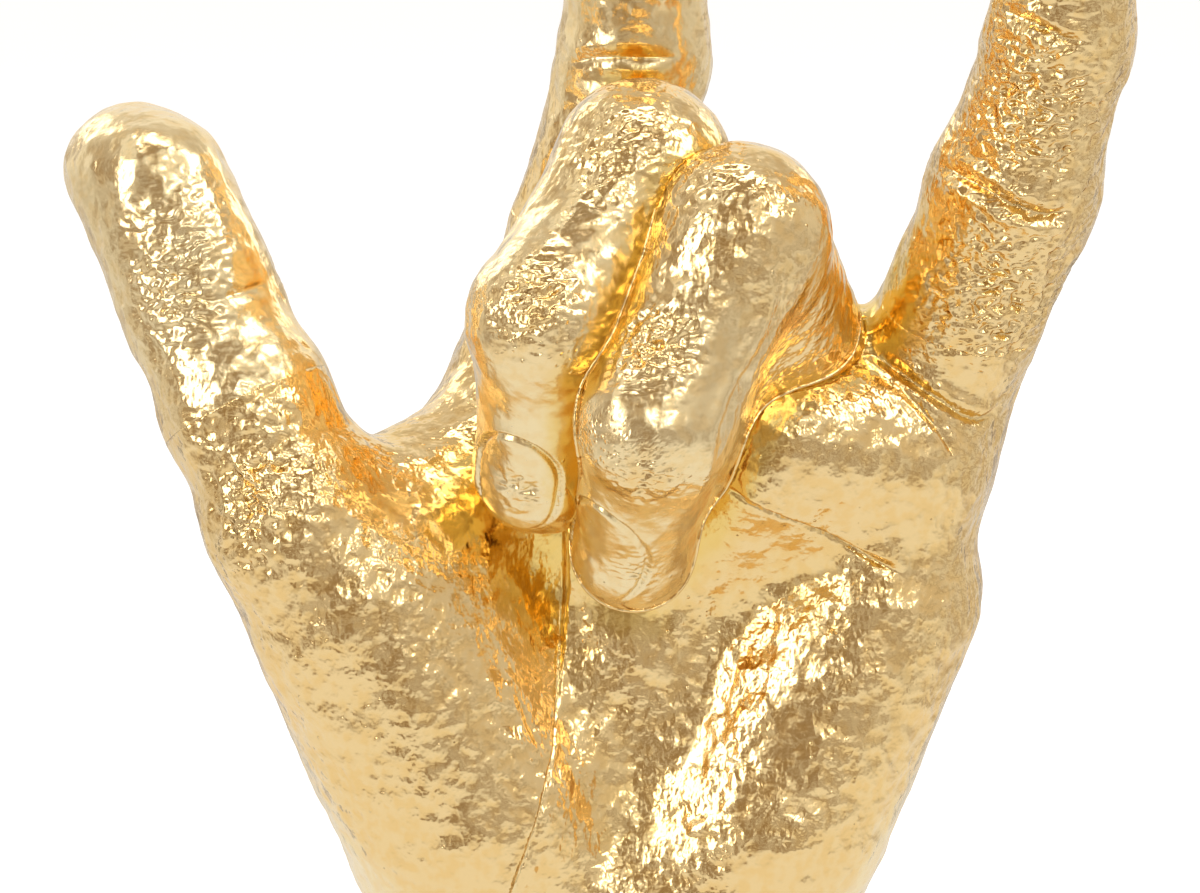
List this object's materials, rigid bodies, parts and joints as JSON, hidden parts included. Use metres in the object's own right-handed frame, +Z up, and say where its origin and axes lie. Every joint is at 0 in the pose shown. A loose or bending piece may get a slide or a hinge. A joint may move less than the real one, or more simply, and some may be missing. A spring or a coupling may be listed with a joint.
{
  "type": "hand sculpture",
  "caption": "Life-size gilded left hand with thumb, first and little fingers raised and the two middle fingers folded on the palm, standing upright on its cut wrist.",
  "frame": {"origin": "centre of the felt's lower face, under the wrist", "axes": "+Z up along the wrist, -Y the way the palm faces, -X towards the thumb"},
  "size_m": [0.142, 0.0736, 0.2376],
  "materials": {
    "gilded_resin": "gold leaf over cast resin, crumpled and pitted, bright",
    "dowel_steel": "plain drawn rod",
    "weight_iron": "rough cast",
    "plate_board": "pressed fibre board",
    "felt": "wool felt"
  },
  "bodies": {
    "root": {"palm_and_wrist": "gilded_resin", "thumb": "gilded_resin", "index_finger": "gilded_resin", "middle_finger": "gilded_resin", "ring_finger": "gilded_resin", "little_finger": "gilded_resin", "thumb_dowel": "dowel_steel", "index_finger_dowel": "dowel_steel", "middle_finger_dowel": "dowel_steel", "ring_finger_dowel": "dowel_steel", "little_finger_dowel": "dowel_steel", "wrist_weight": "weight_iron", "closing_plate": "plate_board", "felt_pad": "felt"}
  },
  "joints": []
}
